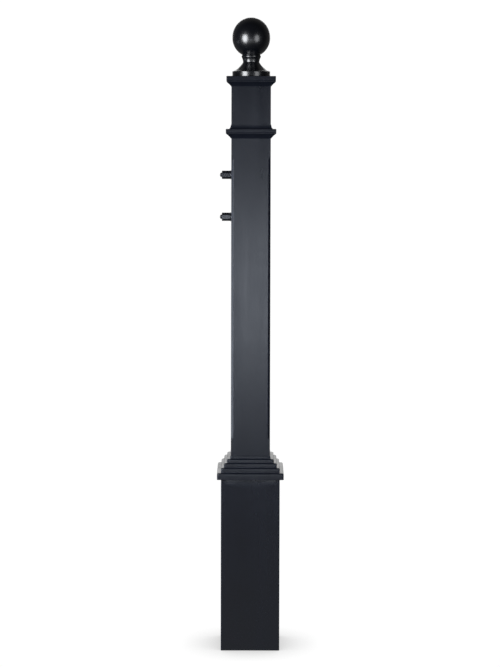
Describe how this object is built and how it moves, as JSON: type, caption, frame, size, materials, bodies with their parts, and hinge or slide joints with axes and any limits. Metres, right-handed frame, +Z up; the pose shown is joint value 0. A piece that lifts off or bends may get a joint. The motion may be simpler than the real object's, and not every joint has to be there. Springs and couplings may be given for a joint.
{
  "type": "ornamental square post",
  "caption": "Black square post with a stepped base cover, moulded trim collar and cap, ball finial, and two side studs with long nuts for a bracket.",
  "frame": {"origin": "on the ground, under the middle of the square shaft", "axes": "+Z up along the shaft; -Y is the front face; the two bracket studs stand out of the -X face"},
  "size_m": [0.1728, 0.1728, 1.6436],
  "materials": {
    "satin_black_paint": "satin black powder coat on aluminium",
    "gloss_black_paint": "gloss black paint on cast aluminium",
    "black_hardware": "black painted steel",
    "zinc_plated_steel": "zinc plated steel",
    "cast_aluminium": "primed dark grey aluminium"
  },
  "bodies": {
    "post": {"anchor_plate": "cast_aluminium", "base_weld": "cast_aluminium", "shaft_tube": "satin_black_paint", "trim_collar": "satin_black_paint", "collar_set_screws": "zinc_plated_steel", "cap": "satin_black_paint", "cap_screws": "black_hardware", "finial_stud": "zinc_plated_steel", "finial_lock_washer": "zinc_plated_steel", "finial_nut": "zinc_plated_steel", "upper_threaded_insert": "zinc_plated_steel", "upper_mounting_stud": "black_hardware", "lower_threaded_insert": "zinc_plated_steel", "lower_mounting_stud": "black_hardware"},
    "base_cover": {"base_box": "satin_black_paint", "base_crown": "satin_black_paint", "crown_set_screws": "zinc_plated_steel", "box_screws": "black_hardware"},
    "finial": {"finial": "gloss_black_paint"},
    "upper_washer": {"upper_washer": "black_hardware"},
    "upper_nut": {"upper_coupling_nut": "black_hardware"},
    "lower_washer": {"lower_washer": "black_hardware"},
    "lower_nut": {"lower_coupling_nut": "black_hardware"}
  },
  "joints": [
    {"name": "base_cover_lift", "type": "slide", "parent": "post", "child": "base_cover", "axis": [0, 0, 1], "range_m": [0, 0.6]},
    {"name": "finial_turn", "type": "hinge", "parent": "post", "child": "finial", "pos_m": [0, 0, 1.4914], "axis": [0, 0, 1], "continuous": true},
    {"name": "upper_nut_out", "type": "slide", "parent": "post", "child": "upper_washer", "axis": [-1, 0, 0], "range_m": [0, 0.0118]},
    {"name": "upper_nut_turn", "type": "hinge", "parent": "upper_washer", "child": "upper_nut", "pos_m": [-0.0534, 0, 1.2364], "axis": [-1, 0, 0], "range_deg": [0, 2160]},
    {"name": "lower_nut_out", "type": "slide", "parent": "post", "child": "lower_washer", "axis": [-1, 0, 0], "range_m": [0, 0.0118]},
    {"name": "lower_nut_turn", "type": "hinge", "parent": "lower_washer", "child": "lower_nut", "pos_m": [-0.0534, 0, 1.1272], "axis": [-1, 0, 0], "range_deg": [0, 2160]}
  ],
  "couplings": [
    {"joint": "upper_nut_out", "follows": "upper_nut_turn", "m_per_rad": 0.00031099},
    {"joint": "lower_nut_out", "follows": "lower_nut_turn", "m_per_rad": 0.00031099}
  ]
}
